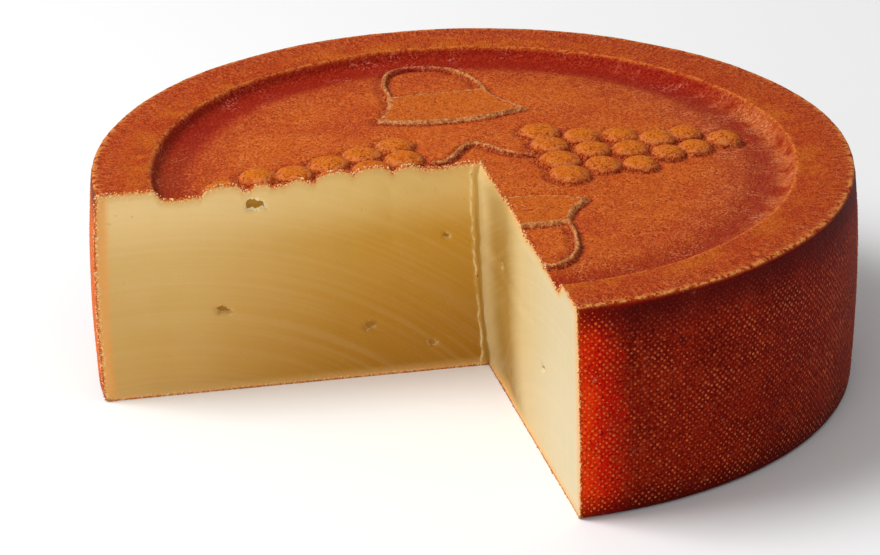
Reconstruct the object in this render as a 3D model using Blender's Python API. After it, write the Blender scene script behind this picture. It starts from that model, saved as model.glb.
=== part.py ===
"""Cheese wheel with a quarter cut out: a washed-rind wheel with a raised rim and a moulded top.

Units are metres and +Z is up. The origin is the middle of the base, on the wheel's own axis, and the
cut opening faces the quarter between -X and -Y.
"""
import math

import bmesh
import bpy
from mathutils import Vector

# --- the wheel -------------------------------------------------------------------------------------
RADIUS = 0.1515           # widest point of the bulging side
HEIGHT = 0.087            # rim above the base
BULGE_HEIGHT = 0.048      # where the side is widest
BULGE_CURVE = 1.00        # how fast the side draws in above and below it, per metre
BASE_ROUNDING = 0.0028    # radius of the lower edge
RIM_ROUNDING = 0.0012     # radius of the two edges of the rim

# --- the sunken top --------------------------------------------------------------------------------
RECESS_RADIUS = 0.1266    # inner edge of the flat rim
MOAT_RADIUS = 0.1150      # middle of the low ring just inside the rim
MOAT_DEPTH = 0.0045       # below the rim
FIELD_RADIUS = 0.1060     # outer edge of the domed field
FIELD_DEPTH = 0.0031      # edge of the field below the rim
DOME_RISE = 0.0026        # middle of the field above its edge
SEGMENTS = 72             # around a full turn

# --- the cut ---------------------------------------------------------------------------------------
CUT_CORNER = (0.0030, 0.0005)        # where the two cut faces meet, near the wheel's middle
LEFT_CUT_END = (-0.1515, 0.0042)     # a point of the left face, at the side
RIGHT_CUT_END = (0.0022, -0.1515)    # a point of the right face, at the side
CUTTER_REACH = 1.3                   # how far the cutter runs past the side, in cut lengths
CUTTER_MARGIN = 0.02                 # how far it runs past the top and the base

# --- the moulded figures on the field --------------------------------------------------------------
BERRY_RISE = 0.0032                  # top of a berry above the field
BERRY_PITCH = 0.0155                 # from berry to berry in a column
# Columns of each bunch, from the wheel's middle outward: x and y of the column's middle, the number of
# its berries and their radius.
BUNCHES = (
    ((0.0337, 0.0025, 4, 0.0082), (0.0491, 0.0020, 3, 0.0075), (0.0639, 0.0003, 3, 0.0073),
     (0.0776, 0.0018, 2, 0.0071), (0.0898, 0.0056, 2, 0.0070), (0.1035, 0.0041, 1, 0.0070)),
    ((-0.0255, 0.0022, 4, 0.0080), (-0.0400, 0.0042, 3, 0.0080), (-0.0549, -0.0008, 3, 0.0080),
     (-0.0698, 0.0013, 2, 0.0077), (-0.0842, 0.0031, 2, 0.0077), (-0.0996, 0.0034, 1, 0.0075)),
)

# Each bell: the side of the wheel it is on, its mouth's distance from the axis, the height of its body,
# half the width of its shoulder and the height of its strap loop.
BELLS = ((1, 0.0466, 0.0340, 0.0205, 0.0310), (-1, 0.0375, 0.0275, 0.0184, 0.0380))
BELL_OFFSET = 0.0048                 # both bells sit this far off the axis
BELL_MOUTH_HALF_WIDTH = 0.0308
BELL_LIP = 0.0075                    # the lips lie this far behind the mouth's middle
BELL_WAIST = 0.42                    # how hollow the flanks are
LOOP_WIDTH = 0.0030                  # width of the strap
LOOP_ROOT = 0.001                    # how far the strap runs down into the shoulder
LOOP_DROP = 0.0009                   # strap below the body's face
BELL_RISE = 0.0014                   # bell above the field

RIB_PEAK = 0.0195                    # peak of the bent rib by the wheel's middle
RIB_SPREAD = 0.0200                  # half the distance between its feet
RIB_WIDTH = 0.0028
RIB_RISE = 0.0012
FIGURE_FOOT = 0.006                  # how deep every figure is rooted in the wheel

RIND_COLOUR = (0.46, 0.10, 0.02, 1.0)
RIND_ROUGHNESS = 0.5


def clear_scene():
    for old in list(bpy.data.objects):
        bpy.data.objects.remove(old, do_unlink=True)


def make_rind():
    material = bpy.data.materials.new("rind")
    material.use_nodes = True
    shader = material.node_tree.nodes["Principled BSDF"]
    shader.inputs["Base Color"].default_value = RIND_COLOUR
    shader.inputs["Roughness"].default_value = RIND_ROUGHNESS
    shader.inputs["Metallic"].default_value = 0.0
    return material


def side_radius(z):
    """Radius of the bulging side at a height."""
    return RADIUS - BULGE_CURVE * (z - BULGE_HEIGHT) ** 2


def field_height(r):
    """Height of the domed field at a distance from the axis."""
    fall = max(0.0, 1.0 - (r / FIELD_RADIUS) ** 2)
    return HEIGHT - FIELD_DEPTH + DOME_RISE * fall ** 1.5


def rounded(centre_r, centre_z, radius, start, end, steps=3):
    """Points along a rounded edge of the profile, from one angle to another, in degrees."""
    angles = [math.radians(start + (end - start) * i / steps) for i in range(steps + 1)]
    return [(centre_r + radius * math.cos(a), centre_z + radius * math.sin(a)) for a in angles]


def wheel_profile():
    """Half section (radius, height), from the middle of the base out, up and in to the middle."""
    base_edge = side_radius(BASE_ROUNDING) - BASE_ROUNDING
    top_edge = side_radius(HEIGHT - RIM_ROUNDING) - RIM_ROUNDING
    points = [(0.0, 0.0)]
    points += rounded(base_edge, BASE_ROUNDING, BASE_ROUNDING, -90, 0)
    for height in (0.010, 0.021, 0.034, BULGE_HEIGHT, 0.061, 0.072, 0.080):
        points.append((side_radius(height), height))
    points += rounded(top_edge, HEIGHT - RIM_ROUNDING, RIM_ROUNDING, 0, 90)
    points += rounded(RECESS_RADIUS + RIM_ROUNDING, HEIGHT - RIM_ROUNDING, RIM_ROUNDING, 90, 160)
    wall_radius = (RECESS_RADIUS - MOAT_RADIUS) * 0.62 + MOAT_RADIUS
    points.append((wall_radius, HEIGHT - 0.84 * MOAT_DEPTH))
    points.append((MOAT_RADIUS, HEIGHT - MOAT_DEPTH))
    points.append(((MOAT_RADIUS + FIELD_RADIUS) / 2, HEIGHT - (MOAT_DEPTH + FIELD_DEPTH) / 2))
    for step in range(7):
        r = FIELD_RADIUS * (1.0 - step / 7)
        points.append((r, field_height(r)))
    points.append((0.0, field_height(0.0)))
    return points


def object_from(name, mesh_builder):
    """New object whose mesh comes from a bmesh, with its faces turned outward."""
    builder = bmesh.new()
    mesh_builder(builder)
    bmesh.ops.remove_doubles(builder, verts=builder.verts, dist=1e-6)
    bmesh.ops.recalc_face_normals(builder, faces=builder.faces)
    mesh = bpy.data.meshes.new(name)
    builder.to_mesh(mesh)
    builder.free()
    made = bpy.data.objects.new(name, mesh)
    bpy.context.scene.collection.objects.link(made)
    return made


def spin_wheel(builder):
    profile = [builder.verts.new((r, 0.0, z)) for r, z in wheel_profile()]
    edges = [builder.edges.new(pair) for pair in zip(profile, profile[1:])]
    bmesh.ops.spin(builder, geom=profile + edges, cent=(0, 0, 0), axis=(0, 0, 1),
                   angle=2 * math.pi, steps=SEGMENTS, use_merge=True)


def prism(builder, outline, bottom, top):
    """Upright solid over an outline."""
    face = builder.faces.new([builder.verts.new((x, y, bottom)) for x, y in outline])
    raised = bmesh.ops.extrude_face_region(builder, geom=[face])
    lifted = [v for v in raised["geom"] if isinstance(v, bmesh.types.BMVert)]
    bmesh.ops.translate(builder, verts=lifted, vec=(0, 0, top - bottom))


def berry_places():
    """Middle and radius of every berry of both bunches."""
    places = []
    for bunch in BUNCHES:
        for x, middle, count, radius in bunch:
            for row in range(count):
                places.append((x, middle + (row - (count - 1) / 2) * BERRY_PITCH, radius))
    return places


def berry(x, y, radius):
    """A flattened round berry that stands on the field."""
    field = field_height(math.hypot(x, y))

    def build(builder):
        bmesh.ops.create_uvsphere(builder, u_segments=16, v_segments=8, radius=1.0)
        for vert in builder.verts:
            vert.co = Vector((x + vert.co.x * radius, y + vert.co.y * radius,
                              field + vert.co.z * BERRY_RISE))
    return build


def bell_body(height, shoulder):
    """Outline of a bell's body over its mouth, across and along, from lip to lip and back."""
    outline = []
    for step in range(9):
        across = -1 + step / 4
        outline.append((across * BELL_MOUTH_HALF_WIDTH, BELL_LIP * across ** 2))
    for step in range(1, 7):
        rise = step / 6
        flare = (1 - rise) ** 2 * (1 + BELL_WAIST * rise)
        half = shoulder + (BELL_MOUTH_HALF_WIDTH - shoulder) * flare
        outline.append((half, BELL_LIP + (height - BELL_LIP) * rise))
    flank = outline[9:]
    return outline + [(-across, along) for across, along in reversed(flank)]


def strap_edge(half_width, foot, height, steps=14):
    """One edge of the strap: half an ellipse over the shoulder, which is at the foot's height."""
    points = []
    for step in range(steps + 1):
        angle = math.pi * step / steps
        rise = (height + LOOP_ROOT) * math.sin(angle)
        points.append((half_width * math.cos(angle), foot - LOOP_ROOT + rise))
    return points


def place_bell(outline, side, mouth):
    """Turn an outline from the bell's own frame to the wheel's; side +1 is the bell on +Y."""
    return [(BELL_OFFSET + side * x, side * (mouth + y)) for x, y in outline]


def bell_top(mouth):
    return field_height(mouth + BELL_LIP) + BELL_RISE


def body_builder(side, mouth, height, shoulder):
    outline = place_bell(bell_body(height, shoulder), side, mouth)
    top = bell_top(mouth)
    return lambda builder: prism(builder, outline, top - FIGURE_FOOT, top)


def loop_builder(side, mouth, height, shoulder, loop):
    outer = strap_edge(shoulder, height, loop)
    inner = strap_edge(shoulder - LOOP_WIDTH, height, loop - LOOP_WIDTH)
    arch = place_bell(outer + inner[::-1], side, mouth)
    top = bell_top(mouth) - LOOP_DROP
    return lambda builder: prism(builder, arch, top - FIGURE_FOOT, top)


def rib_line(offset, steps=10):
    """One edge of the bent rib: a rounded peak that runs out into two flat feet."""
    points = []
    for step in range(steps + 1):
        t = -1 + 2 * step / steps
        points.append((BELL_OFFSET + t * (RIB_SPREAD + offset),
                       0.002 + (RIB_PEAK + offset - 0.002) * math.exp(-4.0 * t * t)))
    return points


def build_rib(builder):
    outline = rib_line(RIB_WIDTH / 2) + list(reversed(rib_line(-RIB_WIDTH / 2)))
    top = field_height(RIB_PEAK) + RIB_RISE
    prism(builder, outline, top - FIGURE_FOOT, top)


def build_cutter(builder):
    corner = Vector(CUT_CORNER)
    left = corner + (Vector(LEFT_CUT_END) - corner) * CUTTER_REACH
    right = corner + (Vector(RIGHT_CUT_END) - corner) * CUTTER_REACH
    outline = [tuple(corner), tuple(left), (left.x, right.y), tuple(right)]
    prism(builder, outline, -CUTTER_MARGIN, HEIGHT + CUTTER_MARGIN)


def hide_guide(guide):
    guide.hide_render = True
    guide.display_type = 'WIRE'


def boolean(target, name, operation, tool=None, group=None):
    modifier = target.modifiers.new(name, 'BOOLEAN')
    modifier.operation = operation
    modifier.solver = 'EXACT'
    if group is None:
        modifier.object = tool
    else:
        modifier.operand_type = 'COLLECTION'
        modifier.collection = group


def main():
    clear_scene()
    wheel = object_from("cheese_wheel", spin_wheel)
    wheel.data.materials.append(make_rind())

    figures = bpy.data.collections.new("figures")
    bpy.context.scene.collection.children.link(figures)
    builders = [("berry", berry(*place)) for place in berry_places()]
    for side, mouth, height, shoulder, loop in BELLS:
        builders += [("bell", body_builder(side, mouth, height, shoulder)),
                     ("loop", loop_builder(side, mouth, height, shoulder, loop))]
    builders.append(("rib", build_rib))
    for number, (name, builder) in enumerate(builders):
        guide = object_from(f"{name}_{number:02d}", builder)
        bpy.context.scene.collection.objects.unlink(guide)
        figures.objects.link(guide)
        hide_guide(guide)
    boolean(wheel, "moulded figures", 'UNION', group=figures)

    cutter = object_from("quarter_cut", build_cutter)
    hide_guide(cutter)
    boolean(wheel, "quarter cut", 'DIFFERENCE', tool=cutter)

    wheel.data.shade_smooth()
    wheel.data.set_sharp_from_angle(angle=math.radians(35))


main()
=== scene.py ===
"""Looks of a washed-rind cheese wheel with a quarter cut out.

One closed skin makes the wheel: moulded top, two cut faces, bulging side and base. Small raised dots of
the cheese cloth's print and loose rind crumbs lie on it. Lengths are metres, +Z is up.
"""

import math

import bmesh
import bpy
import numpy as np
from mathutils import Matrix, Vector
from mathutils.bvhtree import BVHTree


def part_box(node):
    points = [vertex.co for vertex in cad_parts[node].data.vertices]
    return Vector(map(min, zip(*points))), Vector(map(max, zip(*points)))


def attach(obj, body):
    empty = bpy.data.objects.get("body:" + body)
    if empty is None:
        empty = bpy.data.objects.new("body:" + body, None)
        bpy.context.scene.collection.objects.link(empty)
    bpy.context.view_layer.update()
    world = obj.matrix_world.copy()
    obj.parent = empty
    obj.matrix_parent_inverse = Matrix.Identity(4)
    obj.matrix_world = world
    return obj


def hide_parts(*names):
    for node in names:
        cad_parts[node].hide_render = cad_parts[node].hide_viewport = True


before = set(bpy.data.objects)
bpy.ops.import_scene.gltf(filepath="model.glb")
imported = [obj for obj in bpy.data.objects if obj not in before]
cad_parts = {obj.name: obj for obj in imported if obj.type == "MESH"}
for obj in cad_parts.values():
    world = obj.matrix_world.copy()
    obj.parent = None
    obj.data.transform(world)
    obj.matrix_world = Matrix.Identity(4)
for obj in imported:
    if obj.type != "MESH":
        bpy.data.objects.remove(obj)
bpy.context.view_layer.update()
MM = 0.001

# --- the wheel's own sizes, in step with its solid --------------------------
WHEEL = "cheese_wheel"
LOW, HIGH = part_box(WHEEL)
DOT_HEIGHT = 0.25 * MM                       # a cloth dot above the side
RADIUS = min(HIGH[0], -LOW[0]) - DOT_HEIGHT  # widest point of the side, under the dots
BASE = LOW[2]
RIM_HEIGHT = BASE + 87.0 * MM
BULGE_HEIGHT = 48.0 * MM
BULGE_CURVE = 1.00
BASE_ROUNDING = 2.8 * MM
CREASE_ROUNDING = 1.3 * MM

RECESS_RADIUS = 126.6 * MM
FIELD_RADIUS = 106.0 * MM
FIELD_DEPTH = 3.1 * MM
DOME_RISE = 2.6 * MM

CORNER_TOP = np.array((3.0, 0.5)) * MM      # where the cut faces meet, at the top
CORNER_BASE = np.array((4.6, -1.2)) * MM    # and at the base: the knife leaned a little
CORNER_BOW = 1.1 * MM                       # how far the corner bows to the left on its way down
CORNER_FLICK = 1.2 * MM                     # and how far it flicks to the right at its foot
LEFT_CUT_END = np.array((-151.5, 4.2)) * MM
RIGHT_CUT_END = np.array((2.2, -151.5)) * MM
HOLLOW_PLACE = 31 * MM                      # the right face's hollow: from the corner, at the top
HOLLOW_LEAN = 0.09                          # and how much nearer it comes on its way down
HOLLOW_WIDTH = 13 * MM
HOLLOW_DEPTH = 1.9 * MM
LEDGE_PLACE = 2.6 * MM                      # the ledge of the knife's second stroke, from the corner
LEDGE_HEIGHT = 0.80 * MM
LEDGE_CORNER = 3 * MM                       # what the corner itself counts as short of the ledge

# --- how finely the skin is made --------------------------------------------
COLUMNS = 512                               # round the rim, halved again and again towards the corner
CUT_ROWS = 74                               # down each cut face
SIDE_ROWS = 13                              # down the side, between its two rounded edges


def smooth(value, start, end):
    """0 before start, 1 after end, and a soft step between them."""
    t = np.clip((value - start) / (end - start), 0.0, 1.0)
    return t * t * (3.0 - 2.0 * t)


def hump(value, middle, width):
    return np.exp(-((value - middle) / width) ** 2)


def hills(x, y, cell, seed):
    """Smooth random hills between -1 and 1, about one in each cell."""
    gx, gy = np.asarray(x) / cell, np.asarray(y) / cell
    ix, iy = np.floor(gx), np.floor(gy)
    fx, fy = gx - ix, gy - iy
    fx, fy = fx * fx * (3 - 2 * fx), fy * fy * (3 - 2 * fy)

    def post(dx, dy):
        value = np.sin((ix + dx) * 127.1 + (iy + dy) * 311.7 + seed * 74.7) * 43758.5453
        return 2.0 * (value - np.floor(value)) - 1.0

    low = post(0, 0) * (1 - fx) + post(1, 0) * fx
    high = post(0, 1) * (1 - fx) + post(1, 1) * fx
    return low * (1 - fy) + high * fy


def side_radius(z):
    return RADIUS - BULGE_CURVE * (z - BULGE_HEIGHT) ** 2


# --- the moulded figures: plain bells, bunches of round berries and a bent rib ---
BERRY_RISE = 2.7 * MM
BERRY_PITCH = 15.5 * MM
# Columns of each bunch, from the wheel's middle outward, in mm: x and y of the column's middle, the
# number of its berries and their radius.
BUNCHES = (
    ((33.7, 2.5, 4, 8.3), (49.1, 2.0, 3, 7.6), (63.9, 0.3, 3, 7.4),
     (77.6, 1.8, 2, 7.2), (89.8, 5.6, 2, 7.1), (103.5, 4.1, 1, 7.1)),
    ((-25.5, 2.2, 4, 8.1), (-40.0, 4.2, 3, 8.1), (-54.9, -0.8, 3, 8.1),
     (-69.8, 1.3, 2, 7.8), (-84.2, 3.1, 2, 7.8), (-99.6, 3.4, 1, 7.6)),
)

# Each bell: the side of the wheel it is on, then in mm its mouth's distance from the axis, the height of
# its body, half the width of its shoulder and the height of its strap loop; and the loop's lean.
BELLS = ((1, 46.6, 34.0, 20.5, 34.5, 0.12), (-1, 37.5, 28.0, 17.8, 37.5, 0.0))
BELL_OFFSET = 4.8 * MM
BELL_MOUTH_HALF_WIDTH = 30.8 * MM
BELL_LIP = 7.5 * MM
PLATE_RISE = 0.85 * MM
BORDER_RISE = 0.22 * MM                      # thin raised line along the plate's border
BORDER_WIDTH = 0.75 * MM
STRAP_RISE = 1.55 * MM
STRAP_WIDTH = 1.1 * MM                       # half of its width
GROOVE_DEPTH = 0.85 * MM
GROOVE_WIDTH = 4.0 * MM

RIB_PEAK = 19.5 * MM
RIB_SPREAD = 20.0 * MM


def berry_places():
    """Middle and radius of every berry."""
    places = []
    for bunch in BUNCHES:
        for x, middle, count, radius in bunch:
            for row in range(count):
                y = middle * MM + (row - (count - 1) / 2) * BERRY_PITCH
                places.append((x * MM, y, radius * MM))
    return places


def bell_body(height, shoulder):
    """The body's outline from the left lip along the mouth and round over the shoulder."""
    outline = []
    for across in np.linspace(-1, 1, 17):
        outline.append((across * BELL_MOUTH_HALF_WIDTH, BELL_LIP * across ** 2))
    flank = []
    for rise in np.linspace(0.12, 1, 9):
        flare = (1 - rise) ** 2 * (1 + 0.42 * rise)
        half = shoulder + (BELL_MOUTH_HALF_WIDTH - shoulder) * flare
        flank.append((half, BELL_LIP + (height - BELL_LIP) * rise))
    return outline + flank + [(-across, along) for across, along in reversed(flank)]


def strap_loop(height, shoulder, loop, lean):
    """The middle of the strap: a blunt arch over the shoulder, higher on the side that it leans to."""
    turn = np.linspace(0, math.pi, 25)
    arch = np.sin(turn) ** 0.85 * (1 - lean * np.cos(turn))
    return list(zip((shoulder - STRAP_WIDTH) * np.cos(turn), height + loop * arch))


def bent_rib():
    """The middle of the rib: a rounded peak that runs out into two flat feet."""
    t = np.linspace(-1, 1, 25)
    return list(zip(BELL_OFFSET + t * RIB_SPREAD, 2 * MM + (RIB_PEAK - 2 * MM) * np.exp(-4 * t * t)))


def from_wheel_to_bell(x, y, side, mouth):
    return side * (x - BELL_OFFSET), side * y - mouth


def distance_to_line(x, y, line, closed=False):
    """Distance to a bent line; inside a closed one it is negative."""
    line = np.asarray(line)
    ends = np.roll(line, -1, axis=0) if closed else line[1:]
    starts = line if closed else line[:-1]
    nearest = np.full(np.shape(x), 1.0)
    inside = np.zeros(np.shape(x), dtype=bool)
    for (ax, ay), (bx, by) in zip(starts, ends):
        length = (bx - ax) ** 2 + (by - ay) ** 2
        t = np.clip(((x - ax) * (bx - ax) + (y - ay) * (by - ay)) / length, 0, 1)
        nearest = np.minimum(nearest, np.hypot(x - ax - t * (bx - ax), y - ay - t * (by - ay)))
        if closed and by != ay:
            crosses = (ay > y) != (by > y)
            inside ^= crosses & (x < ax + (bx - ax) * (y - ay) / (by - ay))
    return np.where(inside, -nearest, nearest) if closed else nearest


def moulded_figures(x, y):
    """Height of the figures over the field, and their surface marks: how raised each point is, how far
    it is outside the figures, from a bell's border and from a strap, and how far across a berry."""
    wander_x = x + 0.30 * MM * hills(x, y, 5 * MM, 1) + 0.25 * MM * hills(x, y, 1.8 * MM, 2)
    wander_y = y + 0.30 * MM * hills(x, y, 5 * MM, 3) + 0.25 * MM * hills(x, y, 1.8 * MM, 4)
    height = np.zeros_like(x)
    raised = np.zeros_like(x)
    outside = np.full_like(x, 10 * MM)
    border = np.full_like(x, 10 * MM)
    ridge = np.full_like(x, 10 * MM)
    berry = np.full_like(x, 2.0)

    for number, (bx, by, radius) in enumerate(berry_places()):
        size = radius * (1 + 0.04 * math.sin(number * 2.4))
        d = np.hypot(wander_x - bx, wander_y - by) / size
        rise = BERRY_RISE * (1 + 0.10 * math.sin(number * 4.1))
        height = np.maximum(height, rise * np.clip(1 - d ** 2.8, 0, 1) ** 0.75)
        raised = np.maximum(raised, 1 - smooth(d, 0.9, 1.02))
        berry = np.minimum(berry, d)
        outside = np.minimum(outside, (d - 1) * size)

    for side, *sizes, lean in BELLS:
        mouth, body, shoulder, loop = (size * MM for size in sizes)
        u, v = from_wheel_to_bell(wander_x, wander_y, side, mouth)
        edge = distance_to_line(u, v, bell_body(body, shoulder), closed=True)
        from_border = edge + BORDER_WIDTH
        border = np.where(np.abs(from_border) < np.abs(border), from_border, border)
        plate = 1 - smooth(edge, -1.1 * MM, 0.3 * MM)
        strap = distance_to_line(u, v, strap_loop(body, shoulder, loop, lean))
        strap_top = np.clip(1 - (strap / STRAP_WIDTH) ** 2, 0, 1) ** 0.5
        plate_height = PLATE_RISE * plate + BORDER_RISE * hump(from_border, 0, BORDER_WIDTH)
        height = np.maximum(height, np.maximum(plate_height, STRAP_RISE * strap_top))
        raised = np.maximum(raised, np.maximum(plate, strap_top * 0.7))
        ridge = np.minimum(ridge, strap)
        outside = np.minimum(outside, np.minimum(edge, strap - STRAP_WIDTH))
    rib = distance_to_line(wander_x, wander_y, bent_rib())
    rib_width = STRAP_WIDTH * (1.10 - 0.70 * smooth(wander_x, BELL_OFFSET, BELL_OFFSET + RIB_SPREAD))
    rib_top = np.clip(1 - (rib / rib_width) ** 2, 0, 1) ** 0.5
    height = np.maximum(height, 0.8 * STRAP_RISE * rib_top)
    ridge = np.minimum(ridge, rib * STRAP_WIDTH / rib_width)
    outside = np.minimum(outside, rib - rib_width)

    groove = smooth(outside, -0.2 * MM, 0.5 * MM) * (1 - smooth(outside, 0.9 * MM, GROOVE_WIDTH))
    marks = dict(raised=raised, outside=outside, border=border, ridge=ridge, berry=berry)
    return height - GROOVE_DEPTH * groove, marks


# --- heights of the plain top -----------------------------------------------
# Fall below the rim at each radius, from the edge of the field out over the moat, its wall and the rim.
MOAT_SECTION = ((106.0, 3.10), (109.0, 3.60), (112.0, 4.20), (115.5, 4.50), (120.0, 4.50),
                (122.4, 4.15), (124.0, 3.20), (125.1, 1.50), (125.9, 0.40), (126.8, 0.00),
                (128.2, -0.08), (137.0, -0.20), (146.0, 0.00), (150.0, 0.10))


def moat_wander(x, y):
    """How far the moat strays from a true circle here."""
    return 0.55 * MM * hills(x, y, 45 * MM, 5) + 0.15 * MM * hills(x, y, 9 * MM, 6)


def plain_top(x, y):
    """Height of the top without its figures: domed field, moat, steep wall and flat rim."""
    r = np.hypot(x, y)
    radii = np.array([row[0] for row in MOAT_SECTION]) * MM
    falls = np.array([row[1] for row in MOAT_SECTION]) * MM
    outer = RIM_HEIGHT - np.interp(r + moat_wander(x, y), radii, falls)
    dome = RIM_HEIGHT - FIELD_DEPTH + DOME_RISE * np.clip(1 - (r / FIELD_RADIUS) ** 2, 0, 1) ** 1.5
    swell = 0.25 * MM * hills(x, y, 38 * MM, 7) + 0.08 * MM * hills(x, y, 7 * MM, 8)
    return np.where(r < FIELD_RADIUS, dome, outer) + swell


def top_surface(x, y):
    """Height and surface marks of the whole top."""
    height, marks = moulded_figures(x, y)
    r = np.hypot(x, y)
    z = plain_top(x, y) + height * (1 - smooth(r, 114 * MM, 119 * MM))
    r = r + moat_wander(x, y)
    marks["moat"] = smooth(r, 104 * MM, 116 * MM) * (1 - smooth(r, 125.0 * MM, 126.4 * MM))
    marks["edge"] = hump(r, RECESS_RADIUS + 0.2 * MM, 0.6 * MM)
    return z, marks


# --- the skin ---------------------------------------------------------------
class Skin:
    """Points, faces and surface marks of the wheel while it is built."""
    # each mark, and its value where nothing sets it
    MARKS = dict(raised=0.0, outside=0.01, border=0.01, ridge=0.01, berry=2.0, moat=0.0, edge=0.0,
                 side=0.0, from_cut=0.0, rind_depth=0.0, from_side=0.1, eye=0.0, ledge=0.1,
                 right_face=0.0)

    def __init__(self):
        self.points = []
        self.faces = []
        self.paste_faces = []
        self.marks = {name: [] for name in self.MARKS}

    def add(self, points, **marks):
        start = len(self.points)
        self.points.extend(map(tuple, points))
        for name, plain in self.MARKS.items():
            self.marks[name].extend(np.broadcast_to(marks.get(name, plain), len(points)))
        return list(range(start, len(self.points)))

    def places(self, numbers):
        return np.array([self.points[number] for number in numbers])

    def quads(self, first, second):
        """Faces between two rows with as many points."""
        for i in range(len(first) - 1):
            self.faces.append((first[i], first[i + 1], second[i + 1], second[i]))

    def zip_rows(self, first, second):
        """Triangles between two rows with different numbers of points."""
        i = j = 0
        a, b = len(first) - 1, len(second) - 1
        while i < a or j < b:
            if j >= b or (i < a and (i + 1) * b <= (j + 1) * a):
                self.faces.append((first[i], first[i + 1], second[j]))
                i += 1
            else:
                self.faces.append((first[i], second[j + 1], second[j]))
                j += 1

    def join(self, first, second):
        if len(first) == len(second):
            self.quads(first, second)
        else:
            self.zip_rows(first, second)


def cut_angles():
    """Direction of the right cut, and the turn from it to the left cut, seen from the corner."""
    right = RIGHT_CUT_END - CORNER_TOP
    left = LEFT_CUT_END - CORNER_TOP
    start = math.atan2(right[1], right[0])
    return start, (math.atan2(left[1], left[0]) - start) % (2 * math.pi)


def ring_points(r, count, corner):
    """Points of the circle of radius r round the axis, from the right cut round to the left one, on
    evenly turned lines out of the corner."""
    start, sweep = cut_angles()
    turn = start + sweep * np.linspace(0, 1, count + 1)
    along = corner[0] * np.cos(turn) + corner[1] * np.sin(turn)
    reach = -along + np.sqrt(along ** 2 + r ** 2 - corner @ corner)
    return corner[0] + reach * np.cos(turn), corner[1] + reach * np.sin(turn)


def crease_wander(x, y):
    """The outer crease isn't a perfect circle: how far it comes in here."""
    scale = RADIUS / np.hypot(x, y)
    return (0.20 * MM * (1 + hills(x * scale, y * scale, 26 * MM, 9))
            + 0.12 * MM * (1 + hills(x * scale, y * scale, 3.1 * MM, 10)))


def side_wander(x, y, z):
    """Shallow dents of the side."""
    turn = np.arctan2(y, x) * RADIUS
    return 0.18 * MM * (1 + hills(turn, z, 33 * MM, 11)) + 0.07 * MM * (1 + hills(turn, z, 8 * MM, 12))


def top_radii():
    """Radii of the top's rings, from the crease in towards the corner: close together at each edge."""
    crease = side_radius(RIM_HEIGHT) - CREASE_ROUNDING
    rim = np.linspace(crease, RECESS_RADIUS + 1.4 * MM, 14)
    edge = np.arange(RECESS_RADIUS + 0.9 * MM, RECESS_RADIUS - 4.0 * MM, -0.5 * MM)
    field = np.arange(edge[-1] - 0.9 * MM, 8.0 * MM, -0.9 * MM)
    middle = np.arange(field[-1] - 0.8 * MM, 3.6 * MM, -0.8 * MM)
    return np.concatenate([rim, edge, field, middle])


def columns_at(r):
    """Columns of a ring: halved each time the ring is half as long."""
    count = COLUMNS
    while r < 0.37 * RADIUS * count / COLUMNS and count > 32:
        count //= 2
    return count


def add_top(skin):
    """The top from the side's upper edge inward; returns its outer ring and its two cut edges."""
    rings = []
    lip_radius = side_radius(RIM_HEIGHT) - CREASE_ROUNDING
    for step in range(5):
        lean = math.radians(90 * step / 5)
        x, y = ring_points(lip_radius + CREASE_ROUNDING * math.cos(lean), COLUMNS, CORNER_TOP)
        pull = crease_wander(x, y) / np.hypot(x, y)
        x, y = x * (1 - pull), y * (1 - pull)
        z = plain_top(x, y) - CREASE_ROUNDING * (1 - math.sin(lean))
        rings.append(skin.add(np.column_stack([x, y, z]), edge=hump(step, 3.2, 1.5),
                              side=1 - smooth(step, 0, 3)))
    for number, r in enumerate(top_radii()):
        x, y = ring_points(r, columns_at(r), CORNER_TOP)
        pull = crease_wander(x, y) / np.hypot(x, y) * smooth(r, 0.93 * RADIUS, lip_radius)
        x, y = x * (1 - pull), y * (1 - pull)
        z, marks = top_surface(x, y)
        marks["edge"] = np.maximum(marks["edge"], 0.55 * hump(number, 0, 0.8))
        rings.append(skin.add(np.column_stack([x, y, z]), **marks))
    for outer, inner in zip(rings, rings[1:]):
        skin.join(outer, inner)
    z = float(top_surface(CORNER_TOP[:1], CORNER_TOP[1:])[0][0])
    corner = skin.add([(*CORNER_TOP, z)])[0]
    for a, b in zip(rings[-1], rings[-1][1:-1]):
        skin.faces.append((a, b, corner))
    # more points on the last stretch of the left cut's edge, for the ledge near the corner
    neighbour, last = rings[-1][-2:]
    x, y = np.linspace(skin.points[last][:2], CORNER_TOP, 10)[1:-1].T
    z, marks = top_surface(x, y)
    close = skin.add(np.column_stack([x, y, z]), **marks)
    left_end = [last] + close + [corner]
    for a, b in zip(left_end, left_end[1:]):
        skin.faces.append((neighbour, a, b))
    right_edge = [ring[0] for ring in rings] + [corner]
    left_edge = [ring[-1] for ring in rings] + close + [corner]
    return rings[0], right_edge, left_edge


def side_rows():
    """(radius, height) down the side, from just under the crease to the flat of the base."""
    top = RIM_HEIGHT - CREASE_ROUNDING - 1.2 * MM
    rows = [(side_radius(z), z) for z in np.linspace(top, BASE + BASE_ROUNDING, SIDE_ROWS)]
    edge = rows[-1][0] - BASE_ROUNDING
    for step in range(1, 5):
        lean = math.radians(90 * step / 4)
        rows.append((edge + BASE_ROUNDING * math.cos(lean), BASE + BASE_ROUNDING * (1 - math.sin(lean))))
    return rows


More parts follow.
